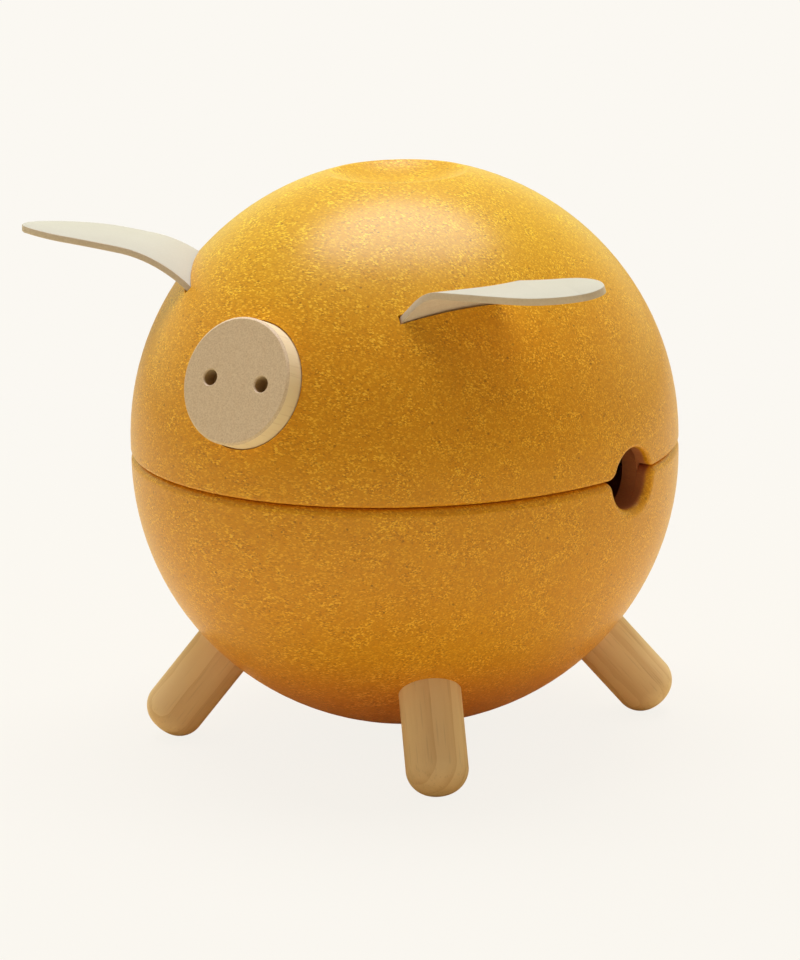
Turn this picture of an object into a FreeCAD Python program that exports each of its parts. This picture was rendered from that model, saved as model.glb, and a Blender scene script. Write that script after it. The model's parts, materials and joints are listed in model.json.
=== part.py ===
import FreeCAD, Part
import os
import re
import Sketcher

document = FreeCAD.newDocument("money_box")
sheet = document.addObject("Spreadsheet::Sheet", "Sizes")

# Driving sizes, in millimetres and degrees
driving_sizes = {
    # The ball, in two halves that meet at a seam
    "ball_radius": 67.5,
    "skirt_wall": 4,
    "seam_gap": 0.3,
    "upper_rim_round": 0.8,
    "upper_straight": 1,
    "lower_rim_round": 2,
    "lower_straight": 0.5,
    # The dish in the crown, and the flat ceiling turned under it
    "dish_radius": 16.7,
    "dish_depth": 4,
    "dish_rim_round": 1.5,
    "ceiling_radius": 22,
    # The band inside the seam
    "ring_wall": 4,
    "ring_rise": 6,
    "ring_depth": 13,
    "ring_fit": 0.05,
    "ring_end_gap": 0.1,
    "ring_edge_break": 0.6,
    # The finger holes, drilled on the seam and flared where they meet it
    "hole_radius": 7.5,
    "hole_drop": 1,
    "hole_flare": 3,
    # The coin slot along the back
    "slot_width": 5,
    "slot_length": 36,
    "slot_lean": 45,
    "slot_round": 1,
    # The snout and its peg
    "snout_radius": 15.2,
    "snout_tilt": 21.6,
    "snout_sink": 3,
    "snout_stand": 3.2,
    "snout_side_gap": 0.3,
    "snout_chamfer": 0.5,
    "nostril_radius": 1.9,
    "nostril_aside": 7.5,
    "nostril_depth": 4,
    "nostril_chamfer": 0.25,
    "peg_radius": 4,
    "peg_in_snout": 4,
    "peg_floor": 1,
    "peg_chamfer": 0.5,
    # The ears: one leaf-shaped pattern for both, its front edge swept a little forward
    "ear_thickness": 1.75,
    "ear_width": 19.4,
    "ear_length": 54.2,
    "ear_tip_inset": 7.3,
    "ear_tip_round": 4.4,
    "ear_front_curve": 32,
    "ear_rear_curve": 43,
    "ear_sweep_angle": 4.7,
    "ear_ahead": 43.7,
    "ear_root_length": 5.5,
    "ear_slot_gap": 0.3,
    "ear_slot_end_gap": 0.7,
    # Each root stands in its own straight slot, and by hand each ear is bent its own way
    "left_ear_aside": 32.4,
    "left_ear_angle": 30,
    "left_ear_run": 23.6,
    "left_ear_slope": 47,
    "left_ear_showing": 5.2,
    "left_ear_bend": 8,
    "left_ear_tip_slope": 4.2,
    "right_ear_aside": 31.4,
    "right_ear_angle": 14,
    "right_ear_run": 21.4,
    "right_ear_slope": 34.5,
    "right_ear_showing": 9.5,
    "right_ear_bend": 21,
    "right_ear_tip_slope": 3,
    # The legs
    "leg_radius": 7.5,
    "leg_splay": 40,
    "leg_angle": 42,
    "leg_apex": 7.1,
    "leg_showing": 25.3,
    "socket_floor": 2,
    "foot_flat": 1.3,
    # The film of glue in every glued joint
    "glue_gap": 0.05,
}

# Sizes worked out from the driving ones
worked_out_sizes = {
    "shell_wall": "skirt_wall + ring_wall",
    "cavity_radius": "ball_radius - shell_wall",
    "rebate_radius": "ball_radius - skirt_wall",
    # Heights follow from the legs, whose rounded feet stand on the ground
    "leg_entry": "leg_apex * cos(leg_splay) + sqrt(ball_radius^2 - (leg_apex * sin(leg_splay))^2)",
    "leg_reach": "leg_entry + leg_showing",
    "socket_depth": "shell_wall - socket_floor",
    "foot_round": "leg_radius - foot_flat",
    "apex_height": "(leg_reach - foot_round) * cos(leg_splay) + foot_flat * sin(leg_splay) + foot_round",
    "lower_centre": "apex_height - leg_apex",
    "seam_height": "lower_centre + lower_straight + lower_rim_round",
    "upper_rim": "seam_height + seam_gap",
    "upper_centre": "upper_rim + upper_rim_round + upper_straight",
    "dish_rim": "upper_centre + sqrt(ball_radius^2 - dish_radius^2)",
    "dish_floor": "dish_rim - dish_depth",
    "dish_curve": "(dish_radius^2 + dish_depth^2) / (2 * dish_depth)",
    "ceiling_height": "upper_centre + sqrt(cavity_radius^2 - ceiling_radius^2)",
    "ring_top": "upper_rim + ring_rise",
    "ring_bottom": "seam_height - ring_depth",
    "upper_shoulder": "ring_top + ring_end_gap",
    "lower_shoulder": "ring_bottom - ring_end_gap",
    "upper_shoulder_radius": "sqrt(cavity_radius^2 - (upper_shoulder - upper_centre)^2)",
    "lower_shoulder_radius": "sqrt(cavity_radius^2 - (lower_centre - lower_shoulder)^2)",
    # Each flare is an arc that touches both the hole and the rim
    "hole_height": "seam_height - hole_drop",
    "flare_reach": "hole_radius + hole_flare",
    "upper_flare_rise": "upper_rim + hole_flare - hole_height",
    "upper_flare_out": "sqrt(flare_reach^2 - upper_flare_rise^2)",
    "lower_flare_rise": "seam_height - hole_flare - hole_height",
    "lower_flare_out": "sqrt(flare_reach^2 - lower_flare_rise^2)",
    "snout_thickness": "snout_sink + snout_stand",
    "peg_in_shell": "shell_wall - snout_sink - peg_floor",
    "ear_half": "ear_thickness / 2",
    "ear_slot_half": "ear_half + ear_slot_gap",
    # Where the ear's tip is centred, and where long curves leave its straight edges to meet the tip
    "ear_tip_middle": "ear_length - ear_tip_round",
    "ear_front_swing": "ear_front_curve - ear_tip_round",
    "ear_front_rise": "ear_tip_inset - ear_front_curve",
    "ear_front_start": "ear_tip_middle - sqrt(ear_front_swing^2 - ear_front_rise^2)",
    "ear_rear_swing": "ear_rear_curve - ear_tip_round",
    "ear_rear_rise": "ear_tip_inset - ear_width + ear_rear_curve",
    "ear_rear_start": "ear_tip_middle - sqrt(ear_rear_swing^2 - ear_rear_rise^2)",
}


def fill_sheet():
    formulas = {name: f"={formula}" for name, formula in worked_out_sizes.items()}
    for row, (name, content) in enumerate({**driving_sizes, **formulas}.items(), start=1):
        sheet.set(f"A{row}", name)
        sheet.set(f"B{row}", str(content))
        sheet.setAlias(f"B{row}", name)
    document.recompute()


def in_sheet(formula):
    """The formula with each size's name pointed at the sheet; every size's name has an underscore."""
    return re.sub(r"\b[a-z]+_[a-z_]+\b", r"Sizes.\g<0>", str(formula))


def value(formula):
    return float(sheet.evalExpression(in_sheet(formula)))


def bind(feature, name, formula):
    feature.setExpression(name, in_sheet(formula))


def bind_placement(feature, name, base, axis="0; 0; 1", angle="0"):
    bind(feature, name, f"placement(vector({base}); rotation(vector({axis}); {angle}))")


def new_body(label):
    body = document.addObject("PartDesign::Body", label)
    body.Label = label
    return body


def origin_feature(body, role):
    return next(feature for feature in body.Origin.OriginFeatures if feature.Role == role)


def new_sketch(body, name, plane, base=None, axis="0; 0; 1", angle="0"):
    sketch = body.newObject("Sketcher::SketchObject", name)
    sketch.AttachmentSupport = (origin_feature(body, plane), [""])
    sketch.MapMode = "FlatFace"
    if base:
        bind_placement(sketch, "AttachmentOffset", base, axis, angle)
    return sketch


def fix(sketch, kind, geometry, point, formula, name):
    """Hold one coordinate of a sketch point: on an axis where it is zero, at a bound distance elsewhere."""
    if formula == "0":
        axis_line = -2 if kind == "DistanceX" else -1
        sketch.addConstraint(Sketcher.Constraint("PointOnObject", geometry, point, axis_line))
        return
    index = sketch.addConstraint(Sketcher.Constraint(kind, -1, 1, geometry, point, value(formula)))
    sketch.renameConstraint(index, name)
    bind(sketch, f"Constraints.{name}", formula)


def draw_circle(sketch, radius, across="0", along="0"):
    centre = FreeCAD.Vector(value(across), value(along), 0)
    circle = sketch.addGeometry(Part.Circle(centre, FreeCAD.Vector(0, 0, 1), value(radius)))
    index = sketch.addConstraint(Sketcher.Constraint("Radius", circle, value(radius)))
    sketch.renameConstraint(index, f"radius{circle}")
    bind(sketch, f"Constraints.radius{circle}", radius)
    fix(sketch, "DistanceX", circle, 3, across, f"across{circle}")
    fix(sketch, "DistanceY", circle, 3, along, f"along{circle}")


def arc_round(start, end, centre):
    """The arc of at most a half turn from start to end, and whether it runs anticlockwise."""
    start_arm = start - centre
    end_arm = end - centre
    middle_arm = start_arm + end_arm
    anticlockwise = start_arm.cross(end_arm).z > 0
    if middle_arm.Length < 1e-6:
        middle_arm = FreeCAD.Vector(-start_arm.y, start_arm.x, 0)
        anticlockwise = True
    middle_arm.multiply(start_arm.Length / middle_arm.Length)
    return Part.Arc(start, centre + middle_arm, end), anticlockwise


def draw_outline(sketch, corners):
    """A closed outline. Each corner is its two coordinates, then for an arc towards the next corner
    the arc's centre and what holds it: centre on the axis, the centre's height, or the radius."""
    places = [FreeCAD.Vector(value(corner[0]), value(corner[1]), 0) for corner in corners]
    ends = []
    for index, corner in enumerate(corners):
        start = places[index]
        end = places[(index + 1) % len(corners)]
        if len(corner) == 2:
            geometry = sketch.addGeometry(Part.LineSegment(start, end))
            ends.append((geometry, 1, 2))
            continue
        centre = FreeCAD.Vector(value(corner[2]), value(corner[3]), 0)
        arc, anticlockwise = arc_round(start, end, centre)
        geometry = sketch.addGeometry(arc)
        ends.append((geometry, 1, 2) if anticlockwise else (geometry, 2, 1))
    for index, (geometry, first, last) in enumerate(ends):
        following, following_first, _ = ends[(index + 1) % len(ends)]
        sketch.addConstraint(Sketcher.Constraint("Coincident", geometry, last, following, following_first))
        fix(sketch, "DistanceX", geometry, first, corners[index][0], f"across{index}")
        fix(sketch, "DistanceY", geometry, first, corners[index][1], f"along{index}")
        if len(corners[index]) == 2:
            continue
        hold = corners[index][4]
        if hold == "axis":
            fix(sketch, "DistanceX", geometry, 3, "0", f"centre{index}")
        elif hold == "height":
            fix(sketch, "DistanceY", geometry, 3, corners[index][3], f"centre{index}")
        else:
            constraint = sketch.addConstraint(Sketcher.Constraint("Radius", geometry, value(hold)))
            sketch.renameConstraint(constraint, f"radius{index}")
            bind(sketch, f"Constraints.radius{index}", hold)


def revolve(body, name, sketch):
    turned = body.newObject("PartDesign::Revolution", name)
    turned.Profile = sketch
    turned.ReferenceAxis = (sketch, ["V_Axis"])
    turned.Angle = 360
    document.recompute()
    return turned


def pad(body, name, sketch, length):
    feature = body.newObject("PartDesign::Pad", name)
    feature.Profile = sketch
    bind(feature, "Length", length)
    document.recompute()
    return feature


def pocket(body, name, sketch, length=None, reverse=False):
    """A cut of a given length, or right through both ways; it has to take something away."""
    before = body.Shape.Volume
    feature = body.newObject("PartDesign::Pocket", name)
    feature.Profile = sketch
    feature.Reversed = reverse
    if length:
        bind(feature, "Length", length)
    else:
        feature.Type = "ThroughAll"
        feature.Midplane = True
    document.recompute()
    if not feature.Shape.Volume < before:
        raise ValueError(f"{name} cut nothing")
    return feature


def edges_where(feature, test):
    return [f"Edge{index}" for index, edge in enumerate(feature.Shape.Edges, start=1) if test(edge)]


def dress(body, kind, name, feature, edges, size_name, size):
    """A fillet or chamfer on the named edges."""
    dressed = body.newObject(f"PartDesign::{kind}", name)
    dressed.Base = (feature, edges)
    bind(dressed, size_name, size)
    document.recompute()
    return dressed


def is_circle(edge, radius, height):
    if edge.Degenerated or not isinstance(edge.Curve, Part.Circle):
        return False
    return abs(edge.Curve.Radius - radius) < 1e-3 and abs(edge.Curve.Center.z - height) < 1e-3


def on_outer_rim(widest, hole_end):
    """Tests whether an edge follows the outside of a half's rim, in and out of its finger holes."""
    seam = value("seam_height")
    reach = abs(value(hole_end) - seam) + 1e-3
    inside = value("(rebate_radius + ball_radius) / 2")

    def test(edge):
        if edge.Degenerated:
            return False
        places = edge.discretize(3)
        if all(abs(place.z - value(widest)) < 1e-3 for place in places):
            return False
        return all(
            abs(place.z - seam) < reach and place.x ** 2 + place.y ** 2 > inside ** 2
            for place in places)
    return test


class Ear:
    """Formulas for one ear. Its corner is where the front edge leaves the ball; hand is 1 on the left."""

    def __init__(self, side, hand):
        self.side = side
        self.hand = hand
        self.aside = f"{side}_ear_aside"
        self.angle = f"{side}_ear_angle"
        self.run = f"{side}_ear_run"
        self.slope = f"{side}_ear_slope"
        self.tip_slope = f"{side}_ear_tip_slope"
        self.bend = f"{side}_ear_bend"
        height = f"upper_centre + sqrt(ball_radius^2 - {self.aside}^2 - ear_ahead^2)"
        self.corner = ("0", height)
        self.bend_start = self.onward(self.corner, f"{side}_ear_showing", self.slope)

    def onward(self, place, distance, slope):
        return (f"{place[0]} + {self.hand} * {distance} * cos({slope})",
                f"{place[1]} + {distance} * sin({slope})")

    def beside(self, place, distance, slope):
        return (f"{place[0]} - {self.hand} * {distance} * sin({slope})",
                f"{place[1]} + {distance} * cos({slope})")

    def across_slot(self, body, name, run):
        """A sketch that stands square across the slot, some way along it from the corner."""
        out = f"{self.hand} * ({self.aside} + ({run}) * sin({self.angle}))"
        base = f"{out}; 0; ear_ahead - ({run}) * cos({self.angle})"
        return new_sketch(body, name, "XZ_Plane", base, upright, f"{-self.hand} * {self.angle}")

    def slot_outline(self):
        root = self.onward(self.corner, "-(ear_root_length + ear_slot_gap)", self.slope)
        return [
            self.beside(root, "ear_slot_half", self.slope),
            self.beside(self.bend_start, "ear_slot_half", self.slope),
            self.beside(self.bend_start, "-ear_slot_half", self.slope),
            self.beside(root, "-ear_slot_half", self.slope),
        ]

    def band_outline(self):
        """The sheet seen along its slot: straight root, bend, then a straight blade."""
        root = self.onward(self.corner, "-ear_root_length", self.slope)
        hub = self.beside(self.bend_start, f"-{self.bend}", self.slope)
        blade = self.beside(hub, self.bend, self.tip_slope)
        tip = self.onward(blade, "ear_length", self.tip_slope)
        return [
            self.beside(root, "ear_half", self.slope),
            self.beside(self.bend_start, "ear_half", self.slope) + hub + (f"{self.bend} + ear_half",),
            self.beside(blade, "ear_half", self.tip_slope),
            self.beside(tip, "ear_half", self.tip_slope),
            self.beside(tip, "-ear_half", self.tip_slope),
            self.beside(blade, "-ear_half", self.tip_slope) + hub + (f"{self.bend} - ear_half",),
            self.beside(self.bend_start, "-ear_half", self.slope),
            self.beside(root, "-ear_half", self.slope),
        ]

    def plan_outline(self):
        """The ear from above, out from its corner: a root square to its slot, and a leaf-shaped tip."""
        def on_tip(start, rise, swing):
            return (f"{self.hand} * (ear_tip_middle + ear_tip_round * (ear_tip_middle - {start}) / {swing})",
                    f"ear_tip_inset + ear_tip_round * {rise} / {swing}")

        front_start = f"{self.hand} * ear_front_start"
        rear_start = f"{self.hand} * ear_rear_start"
        lean = f"({self.angle} - ear_sweep_angle)"
        square_out = f"({self.run} * cos({lean}) - ear_width) / sin({lean})"
        root_in = f"ear_root_length * cos({lean})"
        root_back = f"ear_root_length * sin({lean})"
        run_out = f"{self.run} * sin({lean})"
        return [
            (f"{-self.hand} * {root_in}", root_back),
            ("0", "0"),
            (front_start, "0", front_start, "ear_front_curve", "ear_front_curve"),
            on_tip("ear_front_start", "ear_front_rise", "ear_front_swing")
            + (f"{self.hand} * ear_tip_middle", "ear_tip_inset", "ear_tip_round"),
            on_tip("ear_rear_start", "ear_rear_rise", "ear_rear_swing")
            + (rear_start, "ear_width - ear_rear_curve", "ear_rear_curve"),
            (rear_start, "ear_width"),
            (f"{self.hand} * ({run_out} + {square_out} * cos({lean}))", "ear_width"),
            (f"{self.hand} * ({run_out} - {root_in})", f"{self.run} * cos({lean}) + {root_back}"),
        ]


ears = [Ear("left", 1), Ear("right", -1)]


def hole_outline(rim, flare_out, flare_rise, away):
    """Half of a finger hole, from flare to flare, closed on the far side of the rim."""
    touch_out = f"hole_radius / flare_reach * {flare_out}"
    touch_height = f"hole_height + hole_radius / flare_reach * {flare_rise}"
    flare_height = f"hole_height + {flare_rise}"
    closing = f"{rim} - {away} * hole_flare"
    return [
        (flare_out, rim, flare_out, flare_height, "hole_flare"),
        (touch_out, touch_height, "0", "hole_height", "hole_radius"),
        (f"-{touch_out}", touch_height, f"-{flare_out}", flare_height, "hole_flare"),
        (f"-{flare_out}", rim),
        (f"-{flare_out}", closing),
        (flare_out, closing),
    ]


def at_slot_mouth(edge):
    """Whether an edge lies on the ball's surface round the coin slot."""
    if edge.Degenerated:
        return False
    centre = FreeCAD.Vector(0, 0, value("upper_centre"))
    return all(
        place.y > 0 and abs(place.x) < value("slot_width")
        and abs(place.distanceToPoint(centre) - value("ball_radius")) < 1e-2
        for place in edge.discretize(3))


def coin_slot_outline():
    reach = "slot_length / 2 - slot_width / 2"
    half = "slot_width / 2"
    return [
        (half, f"-({reach})"),
        (half, reach, "0", reach, "height"),
        (f"-{half}", reach),
        (f"-{half}", f"-({reach})", "0", f"-({reach})", "height"),
    ]


def along_snout(distance):
    return f"0; -({distance}) * cos(snout_tilt); upper_centre + ({distance}) * sin(snout_tilt)"


# What sketches are turned about, in the directions of the plane each is drawn on
across = "1; 0; 0"
upright = "0; 1; 0"
snout_angle = "90 - snout_tilt"


def make_upper_shell():
    body = new_body("upper_shell")
    section = new_sketch(body, "upper_section", "XZ_Plane")
    draw_outline(section, [
        ("ball_radius", "upper_centre", "0", "upper_centre", "axis"),
        ("dish_radius", "dish_rim", "0", "dish_floor + dish_curve", "axis"),
        ("0", "dish_floor"),
        ("0", "ceiling_height"),
        ("ceiling_radius", "ceiling_height", "0", "upper_centre", "axis"),
        ("upper_shoulder_radius", "upper_shoulder"),
        ("rebate_radius", "upper_shoulder"),
        ("rebate_radius", "upper_rim"),
        ("ball_radius", "upper_rim"),
    ])
    turned = revolve(body, "upper_turning", section)
    rim = edges_where(turned, lambda edge: is_circle(edge, value("dish_radius"), value("dish_rim")))
    dress(body, "Fillet", "soft_dish_rim", turned, rim, "Radius", "dish_rim_round")

    hole = new_sketch(body, "upper_finger_hole", "YZ_Plane")
    draw_outline(hole, hole_outline("upper_rim", "upper_flare_out", "upper_flare_rise", 1))
    drilled = pocket(body, "upper_finger_holes", hole)
    outer_rim = edges_where(drilled, on_outer_rim("upper_centre", "hole_height + hole_radius"))
    dress(body, "Fillet", "soft_upper_rim", drilled, outer_rim, "Radius", "upper_rim_round")

    face = along_snout("ball_radius + snout_stand")
    seat = new_sketch(body, "snout_seat_circle", "XY_Plane", face, across, snout_angle)
    draw_circle(seat, "snout_radius + snout_side_gap")
    pocket(body, "snout_seat", seat, "snout_thickness")
    surface = along_snout("ball_radius")
    peg_hole = new_sketch(body, "shell_peg_circle", "XY_Plane", surface, across, snout_angle)
    draw_circle(peg_hole, "peg_radius + glue_gap")
    pocket(body, "shell_peg_hole", peg_hole, "snout_sink + peg_in_shell")

    for ear in ears:
        name = f"{ear.side}_ear_slot"
        ear_slot = ear.across_slot(body, f"{name}_outline", f"{ear.run} + ear_slot_end_gap")
        draw_outline(ear_slot, ear.slot_outline())
        pocket(body, name, ear_slot, f"{ear.run} + 2 * ear_slot_end_gap", reverse=True)

    above_back = "ball_radius + slot_width"
    back = f"0; ({above_back}) * sin(slot_lean); upper_centre + ({above_back}) * cos(slot_lean)"
    coin_slot = new_sketch(body, "coin_slot_outline", "XY_Plane", back, across, "-slot_lean")
    draw_outline(coin_slot, coin_slot_outline())
    cut = pocket(body, "coin_slot", coin_slot, "slot_width + 2 * shell_wall")
    mouth = edges_where(cut, at_slot_mouth)
    dress(body, "Fillet", "soft_slot_mouth", cut, mouth, "Radius", "slot_round")
    return body


def make_lower_shell():
    body = new_body("lower_shell")
    section = new_sketch(body, "lower_section", "XZ_Plane")
    draw_outline(section, [
        ("0", "lower_centre - ball_radius", "0", "lower_centre", "axis"),
        ("ball_radius", "lower_centre"),
        ("ball_radius", "seam_height"),
        ("rebate_radius", "seam_height"),
        ("rebate_radius", "lower_shoulder"),
        ("lower_shoulder_radius", "lower_shoulder", "0", "lower_centre", "axis"),
        ("0", "lower_centre - cavity_radius"),
    ])
    revolve(body, "lower_turning", section)

    hole = new_sketch(body, "lower_finger_hole", "YZ_Plane")
    draw_outline(hole, hole_outline("seam_height", "lower_flare_out", "lower_flare_rise", -1))
    drilled = pocket(body, "lower_finger_holes", hole)
    outer_rim = edges_where(drilled, on_outer_rim("lower_centre", "hole_height - hole_radius"))
    dress(body, "Fillet", "soft_lower_rim", drilled, outer_rim, "Radius", "lower_rim_round")

    lean = "-sin(leg_angle); cos(leg_angle); 0"
    socket = new_sketch(body, "socket_circle", "XY_Plane", leg_foot("leg_angle"), lean, "180 - leg_splay")
    draw_circle(socket, "leg_radius + glue_gap")
    first_socket = pocket(body, "first_leg_socket", socket, "leg_showing + socket_depth + glue_gap")
    sockets = body.newObject("PartDesign::PolarPattern", "leg_sockets")
    sockets.Originals = [first_socket]
    sockets.Axis = (origin_feature(body, "Z_Axis"), [""])
    sockets.Angle = 360
    sockets.Occurrences = 4
    body.Tip = sockets
    document.recompute()
    return body


def leg_foot(turn):
    out = "leg_reach * sin(leg_splay)"
    return f"{out} * cos({turn}); {out} * sin({turn}); apex_height - leg_reach * cos(leg_splay)"


def make_joining_ring():
    body = new_body("joining_ring")
    section = new_sketch(body, "ring_section", "XZ_Plane")
    outside = "rebate_radius - ring_fit"
    draw_outline(section, [
        ("cavity_radius", "ring_bottom"),
        (f"{outside} - ring_edge_break", "ring_bottom"),
        (outside, "ring_bottom + ring_edge_break"),
        (outside, "ring_top - ring_edge_break"),
        (f"{outside} - ring_edge_break", "ring_top"),
        ("cavity_radius", "ring_top"),
    ])
    revolve(body, "ring_turning", section)

    notch = new_sketch(body, "ring_notch", "YZ_Plane")
    draw_outline(notch, [
        ("hole_radius", "ring_top + hole_radius"),
        ("-hole_radius", "ring_top + hole_radius"),
        ("-hole_radius", "hole_height", "0", "hole_height", "height"),
        ("hole_radius", "hole_height"),
    ])
    pocket(body, "ring_notches", notch)
    return body


def make_snout():
    body = new_body("snout")
    disc = new_sketch(body, "snout_circle", "XY_Plane")
    draw_circle(disc, "snout_radius")
    blank = pad(body, "snout_blank", disc, "snout_thickness - glue_gap")
    face = value("snout_thickness - glue_gap")
    edge = edges_where(blank, lambda edge: is_circle(edge, value("snout_radius"), face))
    dress(body, "Chamfer", "snout_edge", blank, edge, "Size", "snout_chamfer")

    nostrils = new_sketch(body, "nostril_circles", "XY_Plane", "0; 0; snout_thickness - glue_gap")
    draw_circle(nostrils, "nostril_radius", "nostril_aside")
    draw_circle(nostrils, "nostril_radius", "-nostril_aside")
    drilled = pocket(body, "nostrils", nostrils, "nostril_depth")
    mouths = edges_where(drilled, lambda edge: is_circle(edge, value("nostril_radius"), face))
    dress(body, "Chamfer", "nostril_edges", drilled, mouths, "Size", "nostril_chamfer")
    peg_hole = new_sketch(body, "snout_peg_circle", "XY_Plane")
    draw_circle(peg_hole, "peg_radius + glue_gap")
    pocket(body, "snout_peg_hole", peg_hole, "peg_in_snout", reverse=True)
    back = along_snout("ball_radius - snout_sink + glue_gap")
    bind_placement(body, "Placement", back, across, snout_angle)
    return body


def make_snout_dowel():
    body = new_body("snout_dowel")
    circle = new_sketch(body, "peg_circle", "XY_Plane")
    draw_circle(circle, "peg_radius")
    length = "peg_in_shell + peg_in_snout - glue_gap"
    blank = pad(body, "peg_blank", circle, length)
    ends = edges_where(blank, lambda edge: isinstance(edge.Curve, Part.Circle))
    dress(body, "Chamfer", "peg_ends", blank, ends, "Size", "peg_chamfer")
    start = "ball_radius - snout_sink - peg_in_shell + glue_gap"
    bind_placement(body, "Placement", along_snout(start), across, snout_angle)
    return body


def make_ear(ear):
    pattern = new_body(f"{ear.side}_ear_pattern")
    corner = f"{ear.hand} * {ear.aside}; -ear_ahead; seam_height"
    sweep = f"{-ear.hand} * ear_sweep_angle"
    plan = new_sketch(pattern, f"{ear.side}_ear_plan", "XY_Plane", corner, angle=sweep)
    draw_outline(plan, ear.plan_outline())
    pad(pattern, f"{ear.side}_ear_prism", plan, "ball_radius")

    body = new_body(f"{ear.side}_ear")
    band = ear.across_slot(body, f"{ear.side}_ear_band", "ear_length")
    draw_outline(band, ear.band_outline())
    pad(body, f"{ear.side}_ear_sheet", band, "ear_length + ear_width")
    trimmed = body.newObject("PartDesign::Boolean", f"{ear.side}_ear_trim")
    trimmed.Type = "Common"
    trimmed.setObjects([pattern])
    document.recompute()
    return body


def make_leg(label, quarter):
    body = new_body(label)
    circle = new_sketch(body, f"{label}_circle", "XY_Plane")
    draw_circle(circle, "leg_radius")
    blank = pad(body, f"{label}_dowel", circle, "leg_showing + socket_depth")
    foot_edge = edges_where(blank, lambda edge: is_circle(edge, value("leg_radius"), 0))
    dress(body, "Fillet", f"{label}_foot", blank, foot_edge, "Radius", "foot_round")
    turn = f"leg_angle + {quarter} * 90"
    axis = f"sin({turn}); -cos({turn}); 0"
    bind_placement(body, "Placement", leg_foot(f"({turn})"), axis, "leg_splay")
    return body


fill_sheet()
pieces = [
    make_upper_shell(),
    make_lower_shell(),
    make_joining_ring(),
    make_snout(),
    make_snout_dowel(),
]
pieces += [make_ear(ear) for ear in ears]
leg_places = ["rear_left_leg", "rear_right_leg", "front_right_leg", "front_left_leg"]
pieces += [make_leg(label, quarter) for quarter, label in enumerate(leg_places)]
document.recompute()

for feature in document.Objects:
    if "Invalid" in feature.State or "Error" in feature.State:
        raise ValueError(f"{feature.Label} failed: {feature.State}")
for piece in pieces:
    if piece.Shape.isNull() or not piece.Shape.isValid() or len(piece.Shape.Solids) != 1:
        raise ValueError(f"{piece.Label} isn't one valid solid")

os.makedirs("parts", exist_ok=True)
for piece in pieces:
    piece.Shape.exportStep(f"parts/{piece.Label}.step")
    print(piece.Label, round(piece.Shape.Volume), "cubic mm")
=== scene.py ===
import json
from math import acos, atan, cos, radians, sin, tan
import bpy
from mathutils import Euler, Matrix, Quaternion, Vector


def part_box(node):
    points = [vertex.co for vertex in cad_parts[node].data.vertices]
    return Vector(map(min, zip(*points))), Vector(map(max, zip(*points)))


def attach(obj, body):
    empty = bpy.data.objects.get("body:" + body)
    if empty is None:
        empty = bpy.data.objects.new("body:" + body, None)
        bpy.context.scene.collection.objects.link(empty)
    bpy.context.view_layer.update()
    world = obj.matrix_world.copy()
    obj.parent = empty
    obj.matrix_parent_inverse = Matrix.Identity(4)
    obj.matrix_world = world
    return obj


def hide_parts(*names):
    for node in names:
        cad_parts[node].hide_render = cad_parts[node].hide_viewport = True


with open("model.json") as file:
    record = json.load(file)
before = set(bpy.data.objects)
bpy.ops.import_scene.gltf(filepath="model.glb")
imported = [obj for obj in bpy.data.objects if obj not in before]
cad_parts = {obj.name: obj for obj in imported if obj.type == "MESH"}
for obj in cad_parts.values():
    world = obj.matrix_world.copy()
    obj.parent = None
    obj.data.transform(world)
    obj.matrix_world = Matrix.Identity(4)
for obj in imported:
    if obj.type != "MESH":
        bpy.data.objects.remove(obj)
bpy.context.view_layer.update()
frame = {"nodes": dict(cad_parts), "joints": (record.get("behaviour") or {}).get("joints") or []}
nodes = frame["nodes"]
seam = Vector(next(joint["pos_m"] for joint in frame["joints"] if joint["name"] == "head_turn"))
print("frame loaded:", len(nodes), "nodes")


class Flow:
    # one socket of a node tree; sums on it add Math nodes

    def __init__(self, tree, socket=None):
        self.tree = tree
        self.socket = socket

    def node(self, kind, settings=None, inputs=None, output=0):
        made = self.tree.nodes.new("ShaderNode" + kind)
        for name, value in (settings or {}).items():
            setattr(made, name, value)
        for name, value in (inputs or {}).items():
            if isinstance(value, Flow):
                self.tree.links.new(value.socket, made.inputs[name])
            else:
                made.inputs[name].default_value = value
        return Flow(self.tree, made.outputs[output] if made.outputs else None)

    def math(self, operation, first, second=0.0):
        return self.node("Math", {"operation": operation}, {0: first, 1: second})

    def __add__(self, other):
        return self.math("ADD", self, other)

    def __radd__(self, other):
        return self.math("ADD", other, self)

    def __sub__(self, other):
        return self.math("SUBTRACT", self, other)

    def __rsub__(self, other):
        return self.math("SUBTRACT", other, self)

    def __mul__(self, other):
        return self.math("MULTIPLY", self, other)

    def __rmul__(self, other):
        return self.math("MULTIPLY", other, self)

    def __pow__(self, other):
        return self.math("POWER", self, other)

    def between(self, low, high):
        # 0 below low, 1 above high, smooth on the way
        return self.node("MapRange", {"interpolation_type": "SMOOTHSTEP"},
                         {"Value": self, "From Min": low, "From Max": high})

    def blend(self, first, second, way="MIX"):
        # this socket is the share of the second colour
        return self.node("Mix", {"data_type": "RGBA", "blend_type": way},
                         {0: self, 6: first, 7: second}, output=2)


def colour(red, green, blue):
    return (red, green, blue, 1)


def newMaterial(name):
    material = bpy.data.materials.new(name)
    material.use_nodes = True
    material.node_tree.nodes.clear()
    return material, Flow(material.node_tree)


def finishMaterial(flow, inputs):
    shader = flow.node("BsdfPrincipled", inputs=inputs)
    flow.node("OutputMaterial", inputs={"Surface": shader})


def dress(node, material):
    mesh = nodes[node].data
    mesh.materials.clear()
    mesh.materials.append(material)


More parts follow.
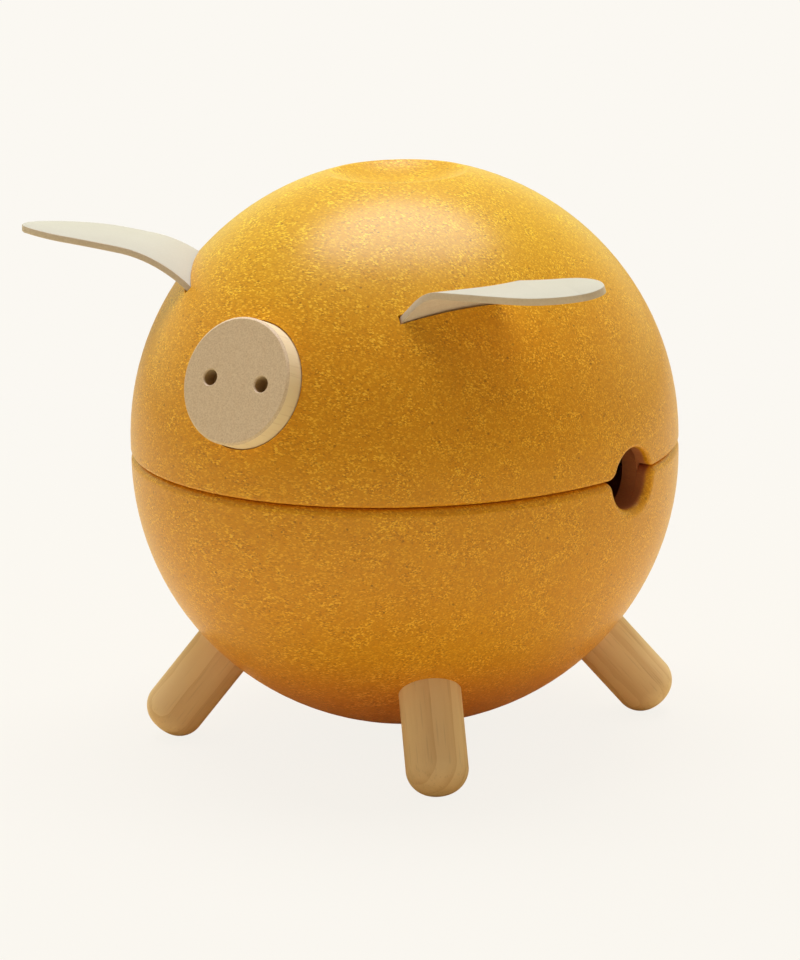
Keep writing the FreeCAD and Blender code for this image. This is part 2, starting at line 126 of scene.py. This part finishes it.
# the ball: dyed wood dust and fibres, pressed, with a satin lacquer outside
ball = {
    "high": colour(0.790, 0.415, 0.008),  # painted light: yellower towards the lit crown, redder low down where the ball is in shade
    "low": colour(0.820, 0.352, 0.009),
    # painted shade: redder and darker under the belly
    "bellyPaintedShade": colour(0.800, 0.250, 0.020),
    "highAt": 0.133,
    "lowAt": 0.106,
    "bellyPaintedShadeTop": 0.036,
    "bellyPaintedShadeAt": 0.012,
    "pale": colour(1.38, 1.85, 5.50),  # what fibres and chips do to the dye
    "deep": colour(0.62, 0.50, 0.58),
    "mote": colour(0.40, 0.28, 0.40),
    "bareAndPaintedShade": colour(0.47, 0.155, 0.085),  # inside, where no lacquer went: raw fibre, darkened further as painted shade in the hollow, the holes and the seam
    "fibreLong": 1500,  # fibres per metre along and across
    "fibreThin": 3600,
    "fibreTurns": ((0.3, 0.5, 0.2), (1.3, -0.4, 1.9), (-0.6, 1.2, 0.9)),
    "lightSpan": (0.90, 0.95),  # the tones, of 0 to 1, that make a fibre light or dark
    "darkSpan": (0.03, 0.09),
    "darkShare": 0.65,
    "chipsPerMetre": 2400,
    "chipWeight": 1.6,
    "cloudsPerMetre": 70,
    "cloudWeight": 0.5,
    "shadeDrop": 0.55,
    "shadeSpan": (0.1, 0.9),
    "shadeShare": 0.28,
    "motesPerMetre": 260,
    "moteSpan": (0.05, 0.11),
    "moteShare": 0.6,
    "tanglesPerMetre": 170,  # where fibres lie thick
    "tangleSpan": (0.40, 0.64),
    "tangleLeast": 0.50,
    "bareAndPaintedShadeShare": 0.85,
    "rimDepth": 0.0018,  # from the upper half's rim up to its centre
    "lacquerDepth": 0.0010,
    "lacquer": 0.55,
    "dishDepth": 0.0055,  # below the crown, all of it lacquered
    "satin": 0.45,
    "raw": 0.75,
    "roughVary": 0.1,
    "lacquerRough": 0.29,
    "gloss": 0.12,
    "grainHeight": 0.00002,
    "grainStrength": 0.3,
}


def pressedFibre(name, centre, radius, crown):
    material, flow = newMaterial(name)
    place = flow.node("TexCoord", output="Object")
    height = flow.node("SeparateXYZ", inputs={"Vector": place}, output="Z")
    # painted light and shade: yellower towards the lit crown, redder low down, redder still under the belly
    dyeWithPaintedLightAndShade = height.between(ball["bellyPaintedShadeAt"], ball["bellyPaintedShadeTop"]).blend(ball["bellyPaintedShade"], ball["low"])
    dyeWithPaintedLightAndShade = height.between(ball["lowAt"], ball["highAt"]).blend(dyeWithPaintedLightAndShade, ball["high"])
    clouds = flow.node("TexNoise", inputs={
        "Vector": place, "Scale": ball["cloudsPerMetre"], "Detail": 4.0, "Roughness": 0.6})
    chips = flow.node("TexNoise", inputs={
        "Vector": place, "Scale": ball["chipsPerMetre"], "Detail": 2.0, "Roughness": 0.6})
    thick = flow.node("TexNoise", inputs={
        "Vector": place, "Scale": ball["tanglesPerMetre"], "Detail": 2.0}).between(*ball["tangleSpan"])
    tangles = ball["tangleLeast"] + thick * (1 - ball["tangleLeast"])
    lightFibres = 0.0
    darkFibres = 0.0
    for turn in ball["fibreTurns"]:
        along = flow.node("Mapping", inputs={
            "Vector": place, "Rotation": turn,
            "Scale": (ball["fibreLong"], ball["fibreThin"], ball["fibreThin"])})
        strand = flow.node("TexVoronoi", inputs={"Vector": along, "Scale": 1.0}, output="Color")
        tone = flow.node("SeparateColor", inputs={"Color": strand}, output=1)
        lightFibres = flow.math("MAXIMUM", lightFibres, tone.between(*ball["lightSpan"]))
        darkFibres = flow.math("MAXIMUM", darkFibres, 1 - tone.between(*ball["darkSpan"]))
    specks = flow.node("TexVoronoi", inputs={
        "Vector": place, "Scale": ball["motesPerMetre"]}, output="Distance")
    motes = 1 - specks.between(*ball["moteSpan"])
    shade = chips * ball["chipWeight"] + clouds * ball["cloudWeight"] - ball["shadeDrop"]
    shade = shade.between(*ball["shadeSpan"])
    stain = ((1 - shade) * ball["shadeShare"]).blend(dyeWithPaintedLightAndShade, ball["deep"], "MULTIPLY")
    stain = (darkFibres * tangles * ball["darkShare"]).blend(stain, ball["deep"], "MULTIPLY")
    stain = (lightFibres * tangles).blend(stain, ball["pale"], "MULTIPLY")
    stain = (motes * ball["moteShare"]).blend(stain, ball["mote"], "MULTIPLY")
    fromCentre = flow.node("VectorMath", {"operation": "DISTANCE"}, {0: place, 1: centre}, output="Value")
    skin = fromCentre.between(radius - ball["lacquerDepth"] * 2, radius - ball["lacquerDepth"])
    dish = height.between(crown - ball["dishDepth"] - ball["lacquerDepth"], crown - ball["dishDepth"])
    lacquered = flow.math("MAXIMUM", skin, dish)
    # raw fibre where no lacquer went, with painted shade darkening the inside, the holes and the seam
    stain = ((1 - lacquered) * ball["bareAndPaintedShadeShare"]).blend(stain, ball["bareAndPaintedShade"])
    rough = ball["raw"] - lacquered * (ball["raw"] - ball["satin"]) + (chips - 0.5) * ball["roughVary"]
    bump = flow.node("Bump", inputs={
        "Strength": ball["grainStrength"], "Distance": ball["grainHeight"],
        "Height": shade + lightFibres - darkFibres})
    finishMaterial(flow, {
        "Base Color": stain, "Roughness": rough, "Normal": bump, "Specular IOR Level": ball["gloss"],
        "Coat Weight": lacquered * ball["lacquer"], "Coat Roughness": ball["lacquerRough"]})
    return material


def stainBall():
    upperLow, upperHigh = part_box("upper_shell")
    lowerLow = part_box("lower_shell")[0]
    radius = (upperHigh.y - upperLow.y) / 2
    upperCentre = (0, 0, upperLow.z + ball["rimDepth"])
    lowerCentre = (0, 0, lowerLow.z + radius)
    dress("upper_shell", pressedFibre("upperStain", upperCentre, radius, upperHigh.z))
    dress("lower_shell", pressedFibre("lowerStain", lowerCentre, radius, upperHigh.z))
    dress("joining_ring", pressedFibre("ringFibre", lowerCentre, radius, upperHigh.z))


stainBall()
print("ball stained")


# legs, snout and peg: pale close-grained wood, its grain along local z
paleWood = {
    "body": colour(0.96, 0.690, 0.405),
    "cream": colour(0.95, 0.825, 0.610),
    "endGrain": colour(0.905, 0.830, 0.860),  # how far a cut end drinks the light
    "endFrom": 0.0026,  # out from the snout's middle
    # painted shade inside the nostrils
    "drilled": colour(0.52, 0.40, 0.27),
    "nostrilAside": 0.0075,
    "nostrilReach": 0.0020,
    "late": colour(0.82, 0.540, 0.285),
    "pore": colour(0.46, 0.290, 0.150),
    "ringsPerMetre": 75,
    "ringWander": 0.0030,
    "wandersPerMetre": 70,
    "wanderStretch": 0.12,  # along the grain, of the scale across it
    "streaksPerMetre": 500,
    "streakStretch": 0.05,
    "streakMiddle": 0.42,
    "poresPerMetre": 1400,
    "poreStretch": 0.055,
    "poreSpan": (0.12, 0.38),
    "poreShare": 0.16,
    "endPoreShare": 0.15,
    "cellsPerMetre": 2600,  # the mottle of a sanded cut end
    "cellSpan": (0.3, 0.7),
    "cellShare": 0.28,
    "edge": 0.0001,  # how soon one look gives way to the next at a cut
    "snoutFigure": (0.10, 0.5),  # how far growth rings and streaks show
    "dowelFigure": (0.6, 1.0),
    "rough": 0.50,
    "roughVary": 0.2,
    "gloss": 0.3,
    "poreDepth": 0.00004,
    "poreStrength": 0.4,
    "snoutTilt": 21.6,
    "legSplay": 40,
    "legAngles": {"rear_left": 42, "rear_right": 132, "front_right": 222, "front_left": 312},
}


def grainedWood(name, node, axis, figure, body, endFrom=None):
    # end grain starts endFrom out along the axis
    material, flow = newMaterial(name)
    rings, streaking = figure
    low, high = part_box(node)
    turn = Vector(axis).rotation_difference(Vector((0, 0, 1)))
    shift = -(turn @ ((low + high) / 2))
    place = flow.node("Mapping", {"vector_type": "POINT"}, {
        "Vector": flow.node("TexCoord", output="Object"),
        "Location": shift, "Rotation": turn.to_euler()})
    wander = flow.node("TexNoise", inputs={
        "Vector": flow.node("Mapping", inputs={"Vector": place, "Scale": (1, 1, paleWood["wanderStretch"])}),
        "Scale": paleWood["wandersPerMetre"], "Detail": 3.0}, output="Color")
    bent = flow.node("VectorMath", {"operation": "MULTIPLY_ADD"}, {
        0: wander, 1: (paleWood["ringWander"],) * 3, 2: place})
    growth = flow.node("TexWave", {"wave_type": "BANDS", "bands_direction": "X", "wave_profile": "SAW"}, {
        "Vector": bent, "Scale": paleWood["ringsPerMetre"], "Distortion": 0.6, "Detail": 2.0}, output="Fac")
    streaks = flow.node("TexNoise", inputs={
        "Vector": flow.node("Mapping", inputs={"Vector": place, "Scale": (1, 1, paleWood["streakStretch"])}),
        "Scale": paleWood["streaksPerMetre"], "Detail": 5.0, "Roughness": 0.6}, output="Fac")
    poreCells = flow.node("TexVoronoi", inputs={
        "Vector": flow.node("Mapping", inputs={"Vector": place, "Scale": (1, 1, paleWood["poreStretch"])}),
        "Scale": paleWood["poresPerMetre"]}, output="Distance")
    pores = 1 - poreCells.between(*paleWood["poreSpan"])
    poreShare = paleWood["endPoreShare" if endFrom else "poreShare"]
    late = (growth ** 2 * rings + (streaks - paleWood["streakMiddle"]) * streaking).between(0.0, 1.0)
    timber = late.blend(body, paleWood["late"])
    timber = (pores * poreShare).blend(timber, paleWood["pore"])
    if endFrom:
        across, up, out = (flow.node("SeparateXYZ", inputs={"Vector": place}, output=way) for way in "XYZ")
        end = out.between(endFrom, endFrom + paleWood["edge"])
        cells = flow.node("TexNoise", inputs={
            "Vector": place, "Scale": paleWood["cellsPerMetre"], "Detail": 2.0}, output="Fac")
        mottle = (1 - cells.between(*paleWood["cellSpan"])) * paleWood["cellShare"]
        timber = (end * mottle).blend(timber, paleWood["pore"])
        timber = end.blend(timber, paleWood["endGrain"], "MULTIPLY")
        # painted shade: the insides of the nostrils darkened
        aside = flow.math("ABSOLUTE", across) - paleWood["nostrilAside"]
        fromHole = (aside * aside + up * up) ** 0.5
        reach = paleWood["nostrilReach"]
        nostrilPaintedShadeMask = 1 - fromHole.between(reach - paleWood["edge"], reach)
        timber = (nostrilPaintedShadeMask * (1 - end)).blend(timber, paleWood["drilled"], "MULTIPLY")
    bump = flow.node("Bump", inputs={
        "Strength": paleWood["poreStrength"], "Distance": paleWood["poreDepth"], "Height": streaks - pores})
    rough = paleWood["rough"] + (streaks - 0.5) * paleWood["roughVary"]
    finishMaterial(flow, {
        "Base Color": timber, "Roughness": rough, "Normal": bump, "Specular IOR Level": paleWood["gloss"]})
    return material


def grainWood():
    tilt = radians(paleWood["snoutTilt"])
    snoutAxis = (0, -cos(tilt), sin(tilt))
    plain, body = paleWood["dowelFigure"], paleWood["body"]
    dress("snout", grainedWood("snoutWood", "snout", snoutAxis, paleWood["snoutFigure"], paleWood["cream"],
                               paleWood["endFrom"]))
    dress("snout_dowel", grainedWood("pegWood", "snout_dowel", snoutAxis, plain, body))
    splay = radians(paleWood["legSplay"])
    for leg, angle in paleWood["legAngles"].items():
        out = sin(splay)
        axis = (out * cos(radians(angle)), out * sin(radians(angle)), -cos(splay))
        dress(leg + "_leg", grainedWood(leg + "Wood", leg + "_leg", axis, plain, body))


grainWood()
print("wood grained")


# the ears: a stiff pale sheet cut to a leaf, its root square to a slot, each bent by hand its own way
earSheet = {
    "thickness": 0.00165,
    "width": 0.0194,
    "tipInset": 0.0073,
    "tipRound": 0.0044,
    "frontCurve": 0.032,
    "rearCurve": 0.026,
    "root": 0.0055,
    "sweep": 4.7,
    "bendSteps": 10,
    "curlSteps": 12,
    "roundSteps": 10,
    "edgeSoft": 0.00035,
    "edgeSteps": 3,
    "edgeAngle": 50,  # sharper edges are softened
    "smoothAngle": 35,
    "same": 1e-6,  # points closer than this are one
}
# place is where the front edge leaves the ball, in the middle of the sheet's thickness; curlHeading is
# measured from square off the slot
ears = {
    "left": {
        "across": 1, "place": (0.0319, -0.0438, 0.1145), "angle": 30, "run": 0.0236, "length": 0.0552,
        "slope": 52, "showing": 0.0044, "bendRadius": 0.0087, "bendTurn": 48.5,
        "curl": 14.3, "curlHeading": 78.6, "curlStart": 0.0173},
    "right": {
        "across": -1, "place": (0.0302, -0.0432, 0.1147), "angle": 14, "run": 0.0214, "length": 0.0571,
        "slope": 35.3, "showing": 0.0024, "bendRadius": 0.0410, "bendTurn": 29.3,
        "curl": -3.5, "curlHeading": 0, "curlStart": 0.0164},
}


def selectWhere(mesh, test):
    # vertices that pass the test, in edit mode
    bpy.ops.mesh.select_mode(type="VERT")
    bpy.ops.mesh.select_all(action="DESELECT")
    bpy.ops.object.mode_set(mode="OBJECT")
    for vertex in mesh.vertices:
        vertex.select = test(vertex.co)
    bpy.ops.object.mode_set(mode="EDIT")


def leafCorners(own):
    # the flat sheet's corners, folds along y, the corner where the front edge leaves the ball at the
    # origin, and how far to round the three at the tip
    lean = radians(own["angle"] - earSheet["sweep"])
    tip = own["length"] - earSheet["tipRound"]
    frontSwing = earSheet["frontCurve"] - earSheet["tipRound"]
    rearSwing = earSheet["rearCurve"] - earSheet["tipRound"]
    frontTurn = acos((earSheet["frontCurve"] - earSheet["tipInset"]) / frontSwing)
    rearTurn = acos((earSheet["tipInset"] - earSheet["width"] + earSheet["rearCurve"]) / rearSwing)
    frontRound = earSheet["frontCurve"] * tan(frontTurn / 2)
    rearRound = earSheet["rearCurve"] * tan(rearTurn / 2)
    frontStart = tip - frontSwing * sin(frontTurn)
    rearStart = tip - rearSwing * sin(rearTurn)
    front = Vector((frontStart + frontRound, 0, 0))
    rear = Vector((rearStart + rearRound, earSheet["width"], 0))
    gap = rear - front
    onFront = (gap.x * sin(rearTurn) + gap.y * cos(rearTurn)) / sin(frontTurn + rearTurn)
    point = front + onFront * Vector((cos(frontTurn), sin(frontTurn), 0))
    tipRound = earSheet["tipRound"] * tan((radians(180) - frontTurn - rearTurn) / 2)
    square = (own["run"] * cos(lean) - earSheet["width"]) / sin(lean)
    leaf = [Matrix.Rotation(lean, 3, "Z") @ corner for corner in (front, point, rear)]
    corners = [Vector((-earSheet["root"], 0, 0)), Vector((0, 0, 0)), *leaf,
               Vector((square, own["run"], 0)), Vector((-earSheet["root"], own["run"], 0))]
    return corners, list(zip(leaf, (frontRound, tipRound, rearRound)))


def drawLeaf(name, own):
    # one vertex, extruded from corner to corner and filled, then the tip's corners rounded
    bpy.ops.object.select_all(action="DESELECT")
    bpy.ops.mesh.primitive_plane_add(size=own["length"], location=(0, 0, 0))
    ear = bpy.context.object
    ear.name = name
    corners, rounds = leafCorners(own)
    bpy.ops.object.mode_set(mode="EDIT")
    bpy.ops.mesh.select_mode(type="VERT")
    bpy.ops.mesh.select_all(action="SELECT")
    bpy.ops.mesh.merge(type="CENTER")
    bpy.ops.transform.translate(value=corners[0])
    for here, there in zip(corners, corners[1:]):
        bpy.ops.mesh.extrude_vertices_move(TRANSFORM_OT_translate={"value": there - here})
    for ends in ((corners[0], corners[-1]), corners):
        selectWhere(ear.data, lambda co: any((co - end).length < earSheet["same"] for end in ends))
        bpy.ops.mesh.edge_face_add()
    for corner, offset in rounds:
        selectWhere(ear.data, lambda co: (co - corner).length < earSheet["same"])
        bpy.ops.mesh.bevel(affect="VERTICES", offset=offset, segments=earSheet["roundSteps"])
    return ear


def turnAll(degrees, axis):
    bpy.ops.mesh.select_all(action="SELECT")
    bpy.ops.transform.rotate(value=radians(degrees), orient_axis=axis, center_override=(0, 0, 0))


def foldSheet(mesh, start, end, steps, turn):
    # spreads a turn over folds along y, from one x to another
    stations = [start + (end - start) * (step + 0.5) / steps for step in range(steps)]
    for station in stations:
        bpy.ops.mesh.select_all(action="SELECT")
        bpy.ops.mesh.bisect(plane_co=(station, 0, 0), plane_no=(1, 0, 0))
    for station in reversed(stations):
        selectWhere(mesh, lambda co: co.x > station + earSheet["same"])
        # the vertices nearest to a fold give its height
        near = min(abs(vertex.co.x - station) for vertex in mesh.vertices) + earSheet["same"]
        height = max(vertex.co.z for vertex in mesh.vertices if abs(vertex.co.x - station) < near)
        bpy.ops.transform.rotate(
            value=radians(turn / steps), orient_axis="Y", center_override=(station, 0, height))


def bendLeaf(ear, own):
    bendEnd = own["showing"] + own["bendRadius"] * radians(own["bendTurn"])
    foldSheet(ear.data, own["showing"], bendEnd, earSheet["bendSteps"], -own["bendTurn"])
    turnAll(own["slope"], "Y")
    turnAll(own["curlHeading"], "Z")
    bpy.ops.object.mode_set(mode="OBJECT")
    reach = max(vertex.co.x for vertex in ear.data.vertices)
    bpy.ops.object.mode_set(mode="EDIT")
    foldSheet(ear.data, own["curlStart"], reach, earSheet["curlSteps"], own["curl"])
    turnAll(own["angle"] - own["curlHeading"], "Z")
    bpy.ops.transform.translate(value=own["place"])
    if own["across"] < 0:
        bpy.ops.transform.mirror(constraint_axis=(True, False, False), center_override=(0, 0, 0))
    bpy.ops.mesh.normals_make_consistent(inside=False)
    bpy.ops.object.mode_set(mode="OBJECT")
    if sum(face.normal.z for face in ear.data.polygons) < 0:
        bpy.ops.object.mode_set(mode="EDIT")
        bpy.ops.mesh.flip_normals()
        bpy.ops.object.mode_set(mode="OBJECT")


def makeEar(side, grainSide, fleshSide):
    own = ears[side]
    ear = drawLeaf(side + "Ear", own)
    bendLeaf(ear, own)
    ear.data.materials.append(grainSide)
    ear.data.materials.append(fleshSide)
    thick = ear.modifiers.new("thickness", "SOLIDIFY")
    thick.thickness = earSheet["thickness"]
    thick.offset = 0
    thick.material_offset = 1
    thick.material_offset_rim = 1
    soft = ear.modifiers.new("softEdge", "BEVEL")
    soft.width = earSheet["edgeSoft"]
    soft.segments = earSheet["edgeSteps"]
    soft.limit_method = "ANGLE"
    soft.angle_limit = radians(earSheet["edgeAngle"])
    for modifier in ("thickness", "softEdge"):
        bpy.ops.object.modifier_apply(modifier=modifier)
    bpy.ops.object.shade_smooth_by_angle(angle=radians(earSheet["smoothAngle"]))
    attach(ear, "upper_half")
    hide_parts(side + "_ear")


earLeather = {
    "body": colour(0.600, 0.585, 0.540),
    "shade": colour(0.560, 0.540, 0.490),
    "cut": colour(0.78, 0.665, 0.575),
    "cutDark": colour(0.66, 0.535, 0.445),
    "grainPerMetre": 1500,
    "grainWeight": 0.25,
    "napPerMetre": 3000,
    "napWeight": 0.5,
    "cloudsPerMetre": 90,
    "cloudWeight": 0.7,
    "toneDrop": 0.3,
    "toneSpan": (0.1, 0.9),
    "rough": 0.78,
    "roughVary": 0.2,
    "grainHeight": 0.00005,
    "grainStrength": 0.35,
    "sheen": 0.15,
    "sheenRough": 0.5,
}


def paleLeather(name, body, shade):
    material, flow = newMaterial(name)
    place = flow.node("TexCoord", output="Object")
    grain = flow.node("TexVoronoi", inputs={
        "Vector": place, "Scale": earLeather["grainPerMetre"]}, output="Distance")
    nap = flow.node("TexNoise", inputs={
        "Vector": place, "Scale": earLeather["napPerMetre"], "Detail": 4.0}, output="Fac")
    clouds = flow.node("TexNoise", inputs={
        "Vector": place, "Scale": earLeather["cloudsPerMetre"], "Detail": 3.0}, output="Fac")
    tone = clouds * earLeather["cloudWeight"] + nap * earLeather["napWeight"]
    tone = tone + grain * earLeather["grainWeight"] - earLeather["toneDrop"]
    tone = tone.between(*earLeather["toneSpan"])
    bump = flow.node("Bump", inputs={
        "Strength": earLeather["grainStrength"], "Distance": earLeather["grainHeight"],
        "Height": grain + nap})
    finishMaterial(flow, {
        "Base Color": tone.blend(shade, body),
        "Roughness": earLeather["rough"] + (nap - 0.5) * earLeather["roughVary"], "Normal": bump,
        "Sheen Weight": earLeather["sheen"], "Sheen Roughness": earLeather["sheenRough"]})
    return material


leather = paleLeather("earLeather", earLeather["body"], earLeather["shade"])
cutEdge = paleLeather("earCutEdge", earLeather["cut"], earLeather["cutDark"])
for side in ears:
    makeEar(side, leather, cutEdge)
print("ears bent")


# floor, lamps and camera
stageSet = {
    "floorSize": 12.0,
    "paper": colour(0.965, 0.939, 0.887),  # the pale backdrop as the camera sees it
    "litPaper": colour(0.80, 0.775, 0.730),
    "bounce": colour(0.92, 0.83, 0.60),
    "shadowShare": 0.09,
    "shadowNear": 0.10,
    "shadowFar": 0.40,
    "roomLight": colour(1.0, 0.86, 0.62),  # from the camera's side
    "windowLight": colour(0.91, 1.0, 0.50),  # from behind the object
    "front": 0.28,
    "behind": 1.08,
    "behindSpan": (-0.6, 0.8),  # how far round the light from behind reaches
    "upSpan": (0.2, 0.75),  # how high it fades, and by how much
    "upFade": 0.75,
    "keySize": (1.00, 0.66),
    "keyHeight": 1.05,
    "keyLean": 13.6,
    "keyWatts": 11.4,
}


view = {
    "azimuth": 36.4,
    "elevation": 13.63,
    "roll": 1.41,
    "distance": 0.965,
    "focalPixels": 3906,
    "pictureSize": (800, 960),
    "aimPixel": (404.7, 440.7),
    "sensorHeight": 24,
}


def toward(azimuth, elevation):
    # from the object, azimuth 0 is out along -y
    flat = cos(radians(elevation))
    return Vector((sin(radians(azimuth)) * flat, -cos(radians(azimuth)) * flat, sin(radians(elevation))))


def makeFloor():
    bpy.ops.object.select_all(action="DESELECT")
    bpy.ops.mesh.primitive_plane_add(size=stageSet["floorSize"], location=(0, 0, 0))
    floor = bpy.context.object
    floor.name = "floor"
    material, flow = newMaterial("floorPaper")
    place = flow.node("TexCoord", output="Object")
    distance = flow.node("VectorMath", {"operation": "LENGTH"}, {0: place}, output="Value")
    seen = flow.node("LightPath", output="Is Camera Ray")
    paper = flow.node("Emission", inputs={"Color": stageSet["paper"], "Strength": 1.0})
    lit = flow.node("BsdfDiffuse", inputs={"Color": stageSet["litPaper"]})
    bounce = flow.node("BsdfDiffuse", inputs={"Color": stageSet["bounce"]})
    shadow = stageSet["shadowShare"] * (1 - distance.between(stageSet["shadowNear"], stageSet["shadowFar"]))
    front = flow.node("MixShader", inputs={0: shadow, 1: paper, 2: lit})
    both = flow.node("MixShader", inputs={0: seen, 1: bounce, 2: front})
    flow.node("OutputMaterial", inputs={"Surface": both})
    floor.data.materials.append(material)


def makeWorld():
    world = bpy.data.worlds.new("studio")
    world.use_nodes = True
    world.node_tree.nodes.clear()
    flow = Flow(world.node_tree)
    path = flow.node("LightPath", output="Is Camera Ray")
    direction = flow.node("TexCoord", output="Generated")
    behind = flow.node("VectorMath", {"operation": "DOT_PRODUCT"}, {
        0: direction, 1: -toward(view["azimuth"], 0)}, output="Value")
    up = flow.node("SeparateXYZ", inputs={"Vector": direction}, output="Z")
    share = behind.between(*stageSet["behindSpan"])
    share = share * (1 - up.between(*stageSet["upSpan"]) * stageSet["upFade"])
    strength = stageSet["front"] + share * (stageSet["behind"] - stageSet["front"])
    tint = share.blend(stageSet["roomLight"], stageSet["windowLight"])
    light = flow.node("Background", inputs={"Color": tint, "Strength": strength})
    paper = flow.node("Background", inputs={"Color": stageSet["paper"], "Strength": 1.0})
    both = flow.node("MixShader", inputs={0: path, 1: light, 2: paper})
    flow.node("OutputWorld", inputs={"Surface": both})
    bpy.context.scene.world = world


def makeCamera():
    data = bpy.data.cameras.new("camera")
    camera = bpy.data.objects.new("camera", data)
    bpy.context.scene.collection.objects.link(camera)
    width, height = view["pictureSize"]
    data.sensor_fit = "VERTICAL"
    data.sensor_height = view["sensorHeight"]
    data.lens = view["focalPixels"] / height * view["sensorHeight"]
    away = toward(view["azimuth"], view["elevation"])
    camera.location = seam + away * view["distance"]
    pan = atan((view["aimPixel"][0] - width / 2) / view["focalPixels"])
    tilt = atan((view["aimPixel"][1] - height / 2) / view["focalPixels"])
    facing = (-away).to_track_quat("-Z", "Y")
    facing = facing @ Quaternion((0, 0, 1), -radians(view["roll"]))
    facing = facing @ Quaternion((0, 1, 0), pan) @ Quaternion((1, 0, 0), tilt)
    camera.rotation_euler = facing.to_euler()
    bpy.context.scene.camera = camera


def makeKey():
    data = bpy.data.lights.new("softbox", "AREA")
    data.shape = "ELLIPSE"
    data.size, data.size_y = stageSet["keySize"]
    data.energy = stageSet["keyWatts"]
    lamp = bpy.data.objects.new("softbox", data)
    bpy.context.scene.collection.objects.link(lamp)
    lean = toward(view["azimuth"] + 180, 90 - stageSet["keyLean"])
    lamp.location = seam + lean * stageSet["keyHeight"]
    lamp.rotation_euler = Euler((-radians(stageSet["keyLean"]), 0, radians(view["azimuth"])))


makeFloor()
makeWorld()
makeKey()
makeCamera()
bpy.context.scene.view_settings.view_transform = "Standard"
print("stage lit")
